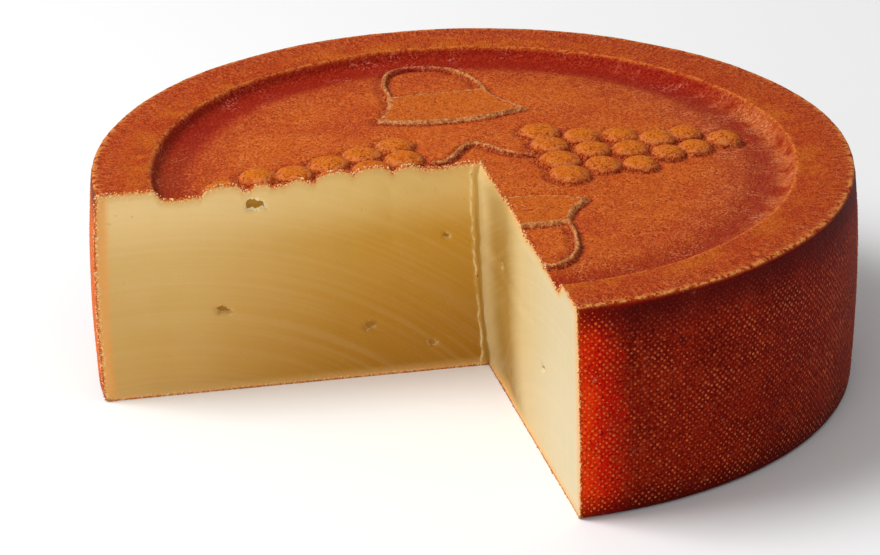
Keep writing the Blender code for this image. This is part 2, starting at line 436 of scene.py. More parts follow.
def place_on_side(r, z, x, y):
    """Point of the side above or below (x, y) of the crease."""
    scale = r / np.hypot(x, y)
    px, py = x * scale, y * scale
    in_by = (side_wander(px, py, z) * smooth(z, 0, 8 * MM)
             * (1 - smooth(z, RIM_HEIGHT - 10 * MM, RIM_HEIGHT)))
    in_by = in_by + crease_wander(px, py) * smooth(z, RIM_HEIGHT - 14 * MM, RIM_HEIGHT - 2 * MM)
    return px * (1 - in_by / r), py * (1 - in_by / r)


def knife_corner(share):
    """Corner between the cut faces, a share of the way down from the top."""
    return CORNER_TOP + (CORNER_BASE - CORNER_TOP) * share


def add_side(skin):
    """The side, its lower edge and the rim of the base; returns its rows."""
    rows = []
    sweep = cut_angles()[1]
    turn = sweep * np.linspace(0, 1, COLUMNS + 1)
    from_cut = np.minimum(turn, sweep - turn) * RADIUS
    for r, z in side_rows():
        x, y = ring_points(r, COLUMNS, knife_corner((RIM_HEIGHT - z) / (RIM_HEIGHT - BASE)))
        x, y = place_on_side(r, z, x, y)
        rows.append(skin.add(np.column_stack([x, y, np.full_like(x, z)]), from_cut=from_cut, side=1.0))
    return rows


# Eyes of each cut face, in mm: along it from the corner, above the base, half length, half height and
# depth; and their tilt.
EYES = {
    "left": ((89.0, 77.0, 4.2, 1.9, 2.2, 0.15), (13.5, 57.0, 1.6, 0.9, 1.2, 0.5),
             (46.0, 22.0, 2.8, 1.1, 2.0, -0.2), (104.0, 34.0, 3.4, 1.5, 2.4, 0.3),
             (22.0, 12.0, 2.2, 0.9, 1.6, 0.1)),
    "right": ((28.0, 54.0, 1.5, 1.2, 1.3, 0.2), (38.0, 13.0, 1.6, 2.3, 1.5, 0.1),
              (54.0, 9.0, 1.2, 2.0, 1.3, 0.0), (96.0, 40.0, 2.4, 1.2, 1.6, 0.3)),
}


def cut_relief(face, along, z):
    """How far a cut face stands out, how deep each point is in an eye, and how far it is past the ledge
    that the knife's second stroke left by the corner."""
    seed = 20 if face == "left" else 30
    down = RIM_HEIGHT - z
    out = 0.35 * MM * hills(along, z, 40 * MM, seed)
    out = out + 0.10 * MM * hills(along, z * 0.3, 6 * MM, seed + 1)
    if face == "right":
        out = out - HOLLOW_DEPTH * hump(along, HOLLOW_PLACE - HOLLOW_LEAN * down, HOLLOW_WIDTH)
    ledge = LEDGE_PLACE + 0.6 * MM * hills(z, 0 * z, 19 * MM, seed + 2)
    ledge = ledge + 0.4 * MM * hills(z, 0 * z, 3 * MM, seed + 3)
    out = out + LEDGE_HEIGHT * (1 - smooth(along, ledge - 0.3 * MM, ledge + 0.3 * MM))
    out = out * smooth(along, 0.0, 2.0 * MM)
    eye = np.zeros_like(along)
    for number, (along_0, z_0, half_length, half_height, depth, tilt) in enumerate(EYES[face]):
        across, up = along - along_0 * MM, z - z_0 * MM
        across, up = (across * math.cos(tilt) + up * math.sin(tilt),
                      up * math.cos(tilt) - across * math.sin(tilt))
        ragged = 1 + 0.45 * hills(across, up, 1.7 * MM, seed + 5 + number)
        inside = 1 - smooth(np.hypot(across / half_length, up / half_height) / MM * ragged, 0.55, 1.35)
        out = out - depth * MM * inside
        eye = np.maximum(eye, inside)
    past_ledge = along - ledge if face == "left" else along + 50 * MM
    return out, eye, past_ledge


def add_cut_face(skin, face, top_edge, side_edge, corner_edge, base_edge):
    """A cut face stretched between its four edges. Each edge is a list of point numbers: the top and
    base edges run from the side to the corner, the side and corner edges run down."""
    top, base, side, corner = map(skin.places, (top_edge, base_edge, side_edge, corner_edge))
    rows = len(side_edge)
    s = np.linalg.norm(top - top[-1], axis=1)
    s = (1 - s / s[0])[None, :, None]
    t = np.linspace(0, 1, rows)[:, None, None]
    grid = ((1 - t) * top[None] + t * base[None] + (1 - s) * side[:, None] + s * corner[:, None]
            - ((1 - s) * (1 - t) * top[0] + s * (1 - t) * top[-1] + (1 - s) * t * base[0]
               + s * t * base[-1]))
    facing = np.array((0.0, -1.0, 0.0)) if face == "left" else np.array((-1.0, 0.0, 0.0))
    height = grid[..., 2]
    under_top = top[None, :, 2] - height
    along = np.linalg.norm(grid[..., :2] - corner[:, None, :2], axis=2)
    from_side = along[:, :1] - along
    out, eye, ledge = cut_relief(face, along, height)
    out = out * smooth(height, BASE, 3 * MM)
    out = out * smooth(under_top, 0, 3 * MM) * smooth(from_side, 0, 4 * MM)
    grid = grid + out[..., None] * facing
    depth = np.minimum(np.minimum(under_top, from_side), height - BASE + 0.4 * MM)
    rows_of_points = [list(top_edge)]
    for row in range(1, rows - 1):
        inner = skin.add(grid[row, 1:-1], rind_depth=depth[row, 1:-1], eye=eye[row, 1:-1],
                         from_side=from_side[row, 1:-1], ledge=ledge[row, 1:-1],
                         right_face=float(face == "right"))
        rows_of_points.append([side_edge[row]] + inner + [corner_edge[row]])
    rows_of_points.append(list(base_edge))
    begin = len(skin.faces)
    for upper, lower in zip(rows_of_points, rows_of_points[1:]):
        if face == "left":
            upper, lower = lower, upper
        skin.quads(upper, lower)
    skin.paste_faces.extend(range(begin, len(skin.faces)))


def resample(points, count):
    """As many points as asked, evenly along a bent line."""
    steps = np.linalg.norm(np.diff(points, axis=0), axis=1)
    length = np.concatenate([[0], np.cumsum(steps)])
    wanted = np.linspace(0, length[-1], count)
    return np.column_stack([np.interp(wanted, length, points[:, axis]) for axis in range(3)])


def add_corner_edge(skin, top_corner):
    """The edge where both cut faces meet, from the top down."""
    share = np.linspace(0, 1, CUT_ROWS + 1)[1:, None]
    top_height = skin.points[top_corner][2]
    line = np.column_stack([knife_corner(share), top_height + (BASE - top_height) * share])
    line[:, 0] -= CORNER_BOW * (smooth(share, 0.0, 0.07) - smooth(share, 0.55, 0.95))[:, 0]
    line[:, 0] += CORNER_FLICK * smooth(share, 0.70, 1.0)[:, 0]
    for axis in (0, 1):
        line[:, axis] += 0.25 * MM * hills(line[:, 2], 0 * line[:, 2], 5 * MM, 40 + axis)
    return [top_corner] + skin.add(line, rind_depth=10 * MM, ledge=-LEDGE_CORNER)


def build_skin():
    """The whole closed skin, and the edges of its cut faces for loose crumbs to lie on."""
    skin = Skin()
    crease_ring, right_top, left_top = add_top(skin)
    rows = add_side(skin)
    for upper, lower in zip([crease_ring] + rows[:-1], rows):
        skin.quads(lower[1:-1], upper[1:-1])
    corner_edge = add_corner_edge(skin, right_top[-1])
    edges = {}
    for face, top_edge, last in (("right", right_top, 0), ("left", left_top, -1)):
        outer = skin.places([top_edge[0]] + [row[last] for row in rows])
        side_edge = [top_edge[0]] + skin.add(resample(outer, CUT_ROWS + 1)[1:])
        top = skin.places(top_edge)
        s = np.linalg.norm(top - top[-1], axis=1)
        s = (1 - s / s[0])[1:-1, None]
        start, end = skin.places((side_edge[-1], corner_edge[-1]))
        base_line = start + (end - start) * s
        base_edge = [side_edge[-1]] + skin.add(base_line, rind_depth=0.3 * MM) + [corner_edge[-1]]
        # the side's last column is stitched to the finer edge of the cut face
        neighbour = 1 if face == "right" else -2
        column = [crease_ring[neighbour]] + [row[neighbour] for row in rows]
        skin.zip_rows(*((side_edge, column) if face == "right" else (column, side_edge)))
        add_cut_face(skin, face, top_edge, side_edge, corner_edge, base_edge)
        edges[face] = dict(top=top_edge, side=side_edge, base=base_edge)
    rim = edges["right"]["base"][::-1] + rows[-1][1:-1] + edges["left"]["base"][:-1]
    skin.faces.append(tuple(rim[::-1]))
    return skin, edges


def plain_mesh(name, points, faces):
    mesh = bpy.data.meshes.new(name)
    mesh.from_pydata([tuple(p) for p in points], [], faces)
    return mesh


def add_object(name, mesh):
    made = bpy.data.objects.new(name, mesh)
    bpy.context.scene.collection.objects.link(made)
    return made


def set_mark(mesh, name, values, kind='FLOAT'):
    field = "vector" if kind == 'FLOAT_VECTOR' else "value"
    attribute = mesh.attributes.new(name, kind, 'POINT')
    attribute.data.foreach_set(field, np.asarray(values, dtype=np.float32).ravel())


def make_wheel(skin, rind, paste):
    mesh = plain_mesh("wheel_skin", skin.points, skin.faces)
    mesh.materials.append(rind)
    mesh.materials.append(paste)
    for number in skin.paste_faces:
        mesh.polygons[number].material_index = 1
    for name, values in skin.marks.items():
        set_mark(mesh, name, values)
    builder = bmesh.new()
    builder.from_mesh(mesh)
    unused = [v for v in builder.verts if not v.link_faces]
    bmesh.ops.delete(builder, geom=unused, context='VERTS')
    bmesh.ops.triangulate(builder, faces=[f for f in builder.faces if len(f.verts) > 4])
    bmesh.ops.recalc_face_normals(builder, faces=builder.faces)
    builder.to_mesh(mesh)
    builder.free()
    mesh.shade_smooth()
    return add_object("wheel_skin", mesh)


# --- cloth print and crumbs, laid by Geometry Nodes -------------------------
DOT_ROW = 1.4 * MM                           # rows of the cloth's print, one above another
DOT_STEP = 2.8 * MM                          # along a row; every second row is shifted by half of it
DOT_STRAY = 0.17 * MM                        # how far a dot is off its place in the net
DOT_WIDTH = 0.84 * MM
DOT_LOWEST, DOT_HIGHEST = 2.6 * MM, 84.0 * MM
CRUMB_STEP = 0.62 * MM
CRUMB_ROOM = 0.5 * MM                        # a crumb's middle stays this far inside the wheel's box


def scatter_tree(name, grain):
    """A tree that stands one small grain on each point: flattened, turned at random and sized."""
    tree = bpy.data.node_groups.new(name, 'GeometryNodeTree')
    face = tree.interface
    sockets = {}
    for title, kind in (("Points", 'NodeSocketGeometry'), ("Width", 'NodeSocketFloat'),
                        ("Height", 'NodeSocketFloat'), ("Least size", 'NodeSocketFloat'),
                        ("Seed", 'NodeSocketInt'), ("Finish", 'NodeSocketMaterial')):
        sockets[title] = face.new_socket(title, in_out='INPUT', socket_type=kind).identifier
    face.new_socket("Grains", in_out='OUTPUT', socket_type='NodeSocketGeometry')

    def node(kind, inputs=(), **settings):
        made = tree.nodes.new(kind)
        for key, value in settings.items():
            setattr(made, key, value)
        for title, value in dict(inputs).items():
            socket = next(s for s in made.inputs if s.name == title and s.enabled)
            if isinstance(value, bpy.types.NodeSocket):
                tree.links.new(value, socket)
            else:
                socket.default_value = value
        return made

    def first_output(made):
        return next(s for s in made.outputs if s.enabled)

    def mark(title, kind):
        return first_output(node('GeometryNodeInputNamedAttribute', {"Name": title}, data_type=kind))

    def chance(least, most):
        inputs = {"Min": least, "Max": most, "Seed": given["Seed"]}
        return first_output(node('FunctionNodeRandomValue', inputs, data_type='FLOAT'))

    given = node('NodeGroupInput').outputs
    shape = node(*grain)
    flat = node('ShaderNodeCombineXYZ', {"X": given["Width"], "Y": given["Width"], "Z": given["Height"]})
    shape = node('GeometryNodeTransform', {"Geometry": shape.outputs["Mesh"], "Scale": flat.outputs[0]})
    outward = mark("outward", 'FLOAT_VECTOR')
    stand = node('FunctionNodeAlignRotationToVector', {"Vector": outward}, axis='Z')
    spin = node('FunctionNodeAxisAngleToRotation', {"Axis": (0, 0, 1), "Angle": chance(0.0, math.tau)})
    turned = {"Rotation": stand.outputs[0], "Rotate By": spin.outputs[0]}
    stand = node('FunctionNodeRotateRotation', turned, rotation_space='LOCAL')
    size = node('ShaderNodeMath', operation='MULTIPLY')
    tree.links.new(mark("size", 'FLOAT'), size.inputs[0])
    tree.links.new(chance(given["Least size"], 1.0), size.inputs[1])
    grains = node('GeometryNodeInstanceOnPoints',
                  {"Points": given["Points"], "Instance": shape.outputs[0],
                   "Rotation": stand.outputs[0], "Scale": size.outputs[0]})
    grains = node('GeometryNodeRealizeInstances', {"Geometry": grains.outputs[0]})
    grains = node('GeometryNodeSetMaterial',
                  {"Geometry": grains.outputs[0], "Material": given["Finish"]})
    tree.links.new(grains.outputs[0], node('NodeGroupOutput').inputs[0])
    return tree, sockets


def scatter(name, points, marks, grain, sizes, finish):
    """One plain piece with a grain on each point. marks are the points' own outward, size and tone."""
    mesh = plain_mesh(name, points, [])
    for title, values in marks.items():
        set_mark(mesh, title, values, 'FLOAT_VECTOR' if title == "outward" else 'FLOAT')
    holder = add_object(name + "_points", mesh)
    tree, sockets = scatter_tree(name, grain)
    modifier = holder.modifiers.new("scatter", 'NODES')
    modifier.node_group = tree
    for title, value in dict(sizes, Finish=finish).items():
        modifier[sockets[title]] = value
    bpy.context.view_layer.update()
    evaluated = holder.evaluated_get(bpy.context.evaluated_depsgraph_get())
    made = add_object(name, bpy.data.meshes.new_from_object(evaluated))
    bpy.data.objects.remove(holder)
    made.data.shade_smooth()
    return made


def make_cloth_dots(wheel, finish):
    """The cheese cloth's print: a slanting net of small dots all over the side."""
    rng = np.random.default_rng(5)
    surface = BVHTree.FromPolygons([v.co for v in wheel.data.vertices],
                                   [tuple(p.vertices) for p in wheel.data.polygons])
    start, sweep = cut_angles()
    reach = 1.5 * RADIUS
    points, outward, size, tone, from_cut = [], [], [], [], []
    for row, height in enumerate(np.arange(DOT_LOWEST, DOT_HIGHEST, DOT_ROW)):
        along = np.arange(0.4 * MM, sweep * RADIUS, DOT_STEP) + DOT_STEP / 2 * (row % 2)
        turns = start + along / RADIUS
        turns = turns + rng.normal(0, DOT_STRAY, len(turns)) / RADIUS
        round_by = turns * RADIUS
        heights = height + rng.normal(0, DOT_STRAY, len(turns))
        heights = heights + 0.6 * MM * hills(round_by, 0 * round_by, 60 * MM, 50)
        strength = ((0.90 + 0.20 * hills(round_by, heights, 16 * MM, 51))
                    * (1 - 0.55 * smooth(heights, DOT_HIGHEST - 5 * MM, DOT_HIGHEST))
                    * (0.6 + 0.4 * smooth(heights, 2 * MM, 6 * MM)))
        missing = rng.random(len(turns)) < 0.05
        tones = 0.45 + 0.30 * rng.normal(size=len(turns)) + 0.30 * hills(round_by, heights, 11 * MM, 52)
        tones = np.clip(tones, 0, 1)
        for turn, z, strong, gone, shade in zip(turns, heights, strength, missing, tones):
            if gone or turn > start + sweep - 0.3 * MM / RADIUS:
                continue
            way = Vector((math.cos(turn), math.sin(turn), 0.0))
            place, normal, _, _ = surface.ray_cast(way * reach + Vector((0, 0, z)), -way)
            if place is None or place.length < 0.9 * RADIUS:
                continue
            points.append(place)
            outward.append(normal if normal.dot(way) > 0 else -normal)
            size.append(strong)
            tone.append(shade)
            from_cut.append(min(turn - start, start + sweep - turn) * RADIUS)
    marks = dict(outward=outward, size=size, tone=tone, from_cut=from_cut)
    sizes = {"Width": DOT_WIDTH, "Height": DOT_HEIGHT, "Least size": 0.55, "Seed": 6}
    bead = ('GeometryNodeMeshUVSphere', {"Segments": 6, "Rings": 2, "Radius": 1.0})
    return scatter("cloth_dots", points, marks, bead, sizes, finish)


def make_crumbs(skin, edges, finish):
    """Loose crumbs of rind along the knife's edges."""
    rng = np.random.default_rng(8)
    lowest, highest = (np.array(LOW) + CRUMB_ROOM, np.array(HIGH) - CRUMB_ROOM)
    points, outward, size, tone = [], [], [], []
    for face, lines in edges.items():
        away = np.array((-0.2, -1.0, 0.3)) if face == "left" else np.array((-1.0, -0.2, 0.3))
        for title, largest, spread in (("top", 0.54, 0.6), ("side", 0.48, 0.45), ("base", 0.35, 0.4)):
            line = skin.places(lines[title])
            length = np.linalg.norm(np.diff(line, axis=0), axis=1).sum()
            for place in resample(line, int(length / CRUMB_STEP)):
                for _ in range(rng.integers(1, 4)):
                    loose = place + rng.normal(0, spread / 2, 3) * MM * (1, 1, 0.7)
                    points.append(np.clip(loose, lowest, highest))
                    outward.append(away + rng.normal(0, 0.4, 3))
                    size.append(largest * rng.uniform(0.35, 1.0))
                    tone.append(rng.random())
    marks = dict(outward=outward, size=size, tone=tone)
    sizes = {"Width": 1.0 * MM, "Height": 0.7 * MM, "Least size": 0.6, "Seed": 9}
    grain = ('GeometryNodeMeshIcoSphere', {"Radius": 1.0, "Subdivisions": 1})
    return scatter("rind_crumbs", points, marks, grain, sizes, finish)


# --- finishes ---------------------------------------------------------------
class Paint:
    """A finish's node tree, with short ways to add to it."""

    def __init__(self, name):
        self.finish = bpy.data.materials.new(name)
        self.finish.use_nodes = True
        self.tree = self.finish.node_tree
        self.shader = self.tree.nodes["Principled BSDF"]
        self.place = self.node("ShaderNodeTexCoord").outputs["Object"]
        self.x, self.y, self.z = self.node("ShaderNodeSeparateXYZ", {0: self.place}).outputs
        flat = self.node("ShaderNodeCombineXYZ", {0: self.x, 1: self.y})
        length = self.node("ShaderNodeVectorMath", {0: flat.outputs[0]}, operation='LENGTH')
        self.r = length.outputs["Value"]
        self.around = self.math('MULTIPLY', self.math('ARCTAN2', self.y, self.x), RADIUS)

    def node(self, kind, inputs=(), **settings):
        made = self.tree.nodes.new(kind)
        for key, value in settings.items():
            setattr(made, key, value)
        for socket, value in dict(inputs).items():
            self.feed(made.inputs[socket], value)
        return made

    def feed(self, socket, value):
        if isinstance(value, bpy.types.NodeSocket):
            self.tree.links.new(value, socket)
        elif socket.type == 'RGBA':
            socket.default_value = (*value, 1.0)
        else:
            socket.default_value = value

    def mark(self, name):
        return self.node("ShaderNodeAttribute", attribute_name=name).outputs["Fac"]

    def math(self, operation, first, second=0.0):
        return self.node("ShaderNodeMath", {0: first, 1: second}, operation=operation).outputs[0]

    def times(self, *values):
        product = values[0]
        for value in values[1:]:
            product = self.math('MULTIPLY', product, value)
        return product

    def plus(self, *values):
        total = values[0]
        for value in values[1:]:
            total = self.math('ADD', total, value)
        return total

    def less(self, value):
        """What is left of 1."""
        return self.math('SUBTRACT', 1.0, value)

    def stray(self, value, pattern, reach):
        """A value that strays with a pattern, by half the reach to each side."""
        return self.plus(value, self.times(self.math('SUBTRACT', pattern, 0.5), reach))

    def step(self, value, start, end):
        """0 at start, 1 at end, with a soft step between them."""
        return self.node("ShaderNodeMapRange", {"Value": value, "From Min": start, "From Max": end},
                         interpolation_type='SMOOTHSTEP').outputs["Result"]

    def band(self, value, start, full, end, full_again):
        """1 where two soft steps overlap: one from start to full, the other from end to full again."""
        return self.times(self.step(value, start, full), self.step(value, end, full_again))

    def noise(self, cell, detail=2.0, rough=0.5, place=None):
        """Cloudy pattern, about one cloud in each cell."""
        return self.node("ShaderNodeTexNoise", {"Vector": place or self.place, "Scale": 1.0 / cell,
                                                "Detail": detail, "Roughness": rough}).outputs["Fac"]

    def stretched(self, *parts):
        """Coordinates made of (value, cell) pairs, for a pattern with cells of those sizes."""
        scaled = [self.math('DIVIDE', value, cell) for value, cell in parts]
        return self.node("ShaderNodeCombineXYZ", dict(enumerate(scaled))).outputs[0]

    def blend(self, share, first, second, kind='MIX'):
        return self.node("ShaderNodeMix", {0: share, 6: first, 7: second}, data_type='RGBA',
                         blend_type=kind).outputs[2]

    def coat(self, tint, *shares, kind='MIX'):
        """One more coat on the colour so far, as strong as the shares multiplied together."""
        self.colour = self.blend(self.times(*shares), self.colour, tint, kind)

    def bump(self, height, distance):
        return self.node("ShaderNodeBump", {"Height": height, "Distance": distance}).outputs["Normal"]

    def apply(self, roughness, normal, shine=0.5):
        self.feed(self.shader.inputs["Base Color"], self.colour)
        self.feed(self.shader.inputs["Roughness"], roughness)
        self.feed(self.shader.inputs["Normal"], normal)
        self.feed(self.shader.inputs["Specular IOR Level"], shine)
        return self.finish


# painted light: the side's left, which faces the lamp, is painted brighter orange
LEFT_PAINTED_LIGHT = (-0.132, -0.148)                 # x where the side turns orange towards the left cut


def washed_rind():
    """Brick-red to ochre rind: worn tan on the figures' ridges, painted shade round them, and dark down
    the side, with painted light towards the left and by the cuts.
    """
    paint = Paint("washed_rind")
    step, blend, noise, times, mark = paint.step, paint.blend, paint.noise, paint.times, paint.mark
    coat, plus, less, stray, band = paint.coat, paint.plus, paint.less, paint.stray, paint.band
    x, y, z, r = paint.x, paint.y, paint.z, paint.r
    cloud = noise(26 * MM, 3, 0.55)
    patch = noise(9 * MM, 3, 0.6)
    grain = noise(1.1 * MM, 3, 0.75)
    fine = noise(0.75 * MM, 1, 0.6)
    speck = noise(2.3 * MM, 2, 0.6)
    wrinkle = noise(1.0, 2, 0.6, paint.stretched((paint.around, 1.3 * MM), (r, 5 * MM)))
    brush = noise(1.0, 1, 0.5, paint.stretched((paint.around, 1.5 * MM), (r, 16 * MM)))
    toward_left = step(x, -0.05, -0.145)
    toward_right = step(x, 0.05, 0.12)

    # the top
    paint.colour = blend(step(cloud, 0.36, 0.64), (0.47, 0.058, 0.007), (0.58, 0.112, 0.009))
    coat((0.63, 0.14, 0.012), step(patch, 0.48, 0.68), 0.5)
    coat((0.38, 0.036, 0.008), step(patch, 0.5, 0.3), 0.5)
    on_rim = step(r, 0.125, 0.128)
    in_field = less(on_rim)
    coat((0.4, 0.036, 0.006), on_rim, 0.6)
    inner_rim = times(on_rim, step(r, 0.142, 0.13), step(cloud, 0.44, 0.58))
    coat((0.6, 0.165, 0.004), inner_rim, step(patch, 0.38, 0.54), 0.75)
    outer_rim = times(on_rim, step(r, 0.135, 0.147))
    coat((0.36, 0.032, 0.009), outer_rim, step(patch, 0.35, 0.6), 0.6)
    near_moat = step(r, 0.085, 0.108)
    coat((0.34, 0.033, 0.014), near_moat, in_field, 0.45)
    at_front = step(y, 0.06, 0.02)
    # painted shade: a greyish lilac band on the field's outer front right, away from the lamp
    lilac_shade = times(near_moat, step(r, 0.118, 0.106), toward_right, at_front, step(patch, 0.4, 0.6))
    coat((0.46, 0.11, 0.065), lilac_shade, 0.55)
    coat((0.3, 0.016, 0.007), mark("moat"), 0.85)
    # painted light: the moat lighter at the front right, where its wall faces the lamp, partly its own
    # paler tone
    coat((0.52, 0.09, 0.035), mark("moat"), toward_right, at_front, step(patch, 0.42, 0.6), 0.45)
    # painted shade: the moat darker on the left, where its wall is in shadow, over its own dark red
    coat((0.17, 0.014, 0.012), mark("moat"), toward_left, 0.45)
    # painted highlight on the moat's outer slope at the front right, over its own paler tone
    pale_and_lit_moat = times(mark("moat"), toward_right, at_front, step(r, 0.115, 0.121))
    coat((0.72, 0.23, 0.08), pale_and_lit_moat, step(patch, 0.36, 0.54), 0.5)
    # painted shade: the field's outer right darker, where it slopes away from the lamp
    right_field_shade = times(toward_right, band(r, 0.082, 0.104, 0.122, 0.116))
    coat((0.3, 0.026, 0.024), right_field_shade, 0.6)

    # the figures: painted shade in the groove round them and along their foot, ochre berries with a worn
    # ring, tan ridges
    outside = stray(mark("outside"), patch, 3 * MM)
    # painted shade in the groove round the figures
    groove_shade = times(step(outside, 3.8 * MM, 0.4 * MM), in_field, less(mark("raised")))
    coat((0.21, 0.014, 0.015), groove_shade, 0.8)
    coat((0.58, 0.132, 0.005), mark("raised"), 0.85)
    berry = mark("berry")
    coat((0.66, 0.19, 0.004), step(berry, 0.85, 0.6), step(patch, 0.3, 0.5), 0.85)
    ring = times(band(berry, 0.64, 0.78, 0.97, 0.88), step(speck, 0.42, 0.54))
    coat((0.66, 0.27, 0.12), ring, 0.7)
    # painted shade along the foot of the figures
    foot = band(mark("outside"), 1.0 * MM, 0.2 * MM, -0.7 * MM, 0.1 * MM)
    coat((0.14, 0.006, 0.005), foot, in_field, 0.65)

    # the rim's fine wrinkles, and the worn edges with a painted highlight on them
    fine_lines = times(on_rim, step(r, 0.134, 0.145), step(wrinkle, 0.52, 0.64))
    coat((0.7, 0.21, 0.06), fine_lines, 0.7)
    dark_lines = times(on_rim, step(r, 0.132, 0.145), step(wrinkle, 0.48, 0.37))
    coat((0.22, 0.016, 0.006), dark_lines, 0.75)
    # painted highlight, partly wear, along the rim's inner edge and crease
    coat((0.76, 0.29, 0.07), mark("edge"), step(speck, 0.4, 0.58), 0.85)

    # grain over all of it, scratches, and pale scuffs with painted glints
    plain = less(times(mark("moat"), 0.6))
    rough = times(plus(times(step(patch, 0.4, 0.6), 0.55), 0.45), less(times(on_rim, 0.35)))
    coat((0.68, 0.15, 0.022), step(speck, 0.5, 0.66), plain, 0.4)
    coat((0.32, 0.024, 0.004), step(speck, 0.5, 0.34), 0.45)
    coat((0.7, 0.17, 0.045), step(grain, 0.5, 0.61), plain, rough, 0.75)
    coat((0.24, 0.014, 0.002), step(grain, 0.5, 0.38), rough, 0.85)
    coat((0.8, 0.235, 0.08), step(fine, 0.54, 0.64), plain, 0.5)
    border = band(mark("border"), 1.15 * MM, 0.65 * MM, -1.5 * MM, -0.8 * MM)
    ridge = paint.math('MAXIMUM', step(mark("ridge"), 1.10 * MM, 0.4 * MM), times(border, 0.85))
    coat((0.5, 0.19, 0.06), ridge, 0.75)
    coat((0.78, 0.39, 0.21), ridge, step(grain, 0.46, 0.57), 0.85)
    coat((0.24, 0.055, 0.012), ridge, step(speck, 0.48, 0.38), 0.75)
    # painted highlight, partly wear, on the outer crease
    crease = times(mark("edge"), step(r, 0.143, 0.147), step(speck, 0.44, 0.56))
    coat((0.84, 0.43, 0.16), crease, 0.85)
    scratched = times(in_field, step(r, 0.048, 0.075), toward_right, step(brush, 0.56, 0.66))
    coat((0.74, 0.26, 0.14), scratched, step(patch, 0.42, 0.56), step(fine, 0.4, 0.52), 0.6)
    # pale scuffs, partly painted glints of the rind's sheen
    scuff_and_glint = times(step(grain, 0.54, 0.63), step(patch, 0.52, 0.64), step(cloud, 0.42, 0.56),
                  plus(mark("moat"), 0.25))
    coat((0.76, 0.4, 0.27), scuff_and_glint, 0.7)
    coat((1.03, 0.97, 0.75), in_field, kind='MULTIPLY')
    coat((0.9, 0.53, 0.76), mark("moat"), step(y, 0.03, 0.07), kind='MULTIPLY')
    coat((0.96, 0.78, 0.56), on_rim, kind='MULTIPLY')
    top = paint.colour

    # the side
    paint.colour = blend(step(cloud, 0.34, 0.66), (0.15, 0.003, 0.0005), (0.24, 0.007, 0.001))
    coat((0.36, 0.02, 0.003), step(patch, 0.5, 0.7), 0.5)
    smudge = times(step(noise(13 * MM, 2, 0.5), 0.6, 0.72), step(patch, 0.42, 0.6))
    coat((0.08, 0.003, 0.002), smudge, 0.7)
    # painted light: the side glows bright red near the cuts, as if lit through the thin rind
    painted_glow = stray(mark("from_cut"), patch, 0.016)
    painted_glow = plus(painted_glow, times(step(z, 0.04, 0.085), 0.004))
    coat((0.72, 0.006, 0.0005), step(painted_glow, 0.024, 0.006))
    coat((1.0, 0.04, 0.001), step(painted_glow, 0.011, 0.001))
    # painted light: the side turns orange towards the left, where the lamp falls
    painted_light_x = stray(x, patch, 0.016)
    coat((0.74, 0.24, 0.055), step(painted_light_x, *LEFT_PAINTED_LIGHT), 0.8)
    coat((0.44, 0.04, 0.006), step(grain, 0.5, 0.64), 0.5)
    coat((0.06, 0.001, 0.0005), step(grain, 0.49, 0.36), 0.7)
    shade = paint.math('MAXIMUM', step(z, 0.07, 0.084), step(z, 0.014, 0.001))
    coat((0.075, 0.003, 0.002), shade, 0.75)
    bloom = times(step(speck, 0.64, 0.72), step(patch, 0.5, 0.6))
    coat((0.78, 0.42, 0.25), bloom, 0.2)

    paint.colour = blend(mark("side"), top, paint.colour)
    height = plus(times(grain, 0.9), times(speck, 0.6), times(fine, 0.3), times(wrinkle, on_rim))
    return paint.apply(plus(times(grain, 0.35), 0.36), paint.bump(height, 1.0 * MM), shine=0.03)


def print_dots():
    """Orange dots that the cloth's print leaves on the side."""
    paint = Paint("print_dots")
    coat, step, plus, times = paint.coat, paint.step, paint.plus, paint.times
    grain = paint.noise(0.5 * MM, 2, 0.6)
    cloud = paint.noise(18 * MM, 2, 0.5)
    paint.colour = paint.blend(paint.mark("tone"), (0.34, 0.026, 0.004), (0.68, 0.14, 0.034))
    coat((0.34, 0.03, 0.005), step(cloud, 0.48, 0.64), 0.6)
    # painted shade: the dots darker under the crease
    coat((0.19, 0.014, 0.006), step(paint.z, 0.066, 0.08))
    # painted light: the dots brighter orange towards the lit left
    coat((0.95, 0.38, 0.09), step(paint.x, *LEFT_PAINTED_LIGHT), 0.6)
    # painted glow: the dots bright red near the cuts
    coat((1.0, 0.15, 0.018), step(paint.mark("from_cut"), 0.024, 0.005))
    return paint.apply(plus(times(grain, 0.3), 0.35), paint.bump(grain, 0.15 * MM), shine=0.12)


def dry_crumbs():
    """Crumbs of dry rind: some pale, some orange."""
    paint = Paint("dry_crumbs")
    grain = paint.noise(0.5 * MM, 2, 0.6)
    pale = paint.step(paint.mark("tone"), 0.25, 0.7)
    paint.colour = paint.blend(pale, (0.6, 0.11, 0.01), (0.88, 0.56, 0.25))
    # painted shade: the crumbs darker near the base
    paint.coat((0.36, 0.13, 0.04), paint.step(paint.z, 0.006, 0.001), 0.7)
    return paint.apply(paint.plus(paint.times(grain, 0.2), 0.55), paint.bump(grain, 0.2 * MM), shine=0.2)


KNIFE_PIVOT = (-0.13, -0.13, -0.12)          # the drag marks are arcs round this point


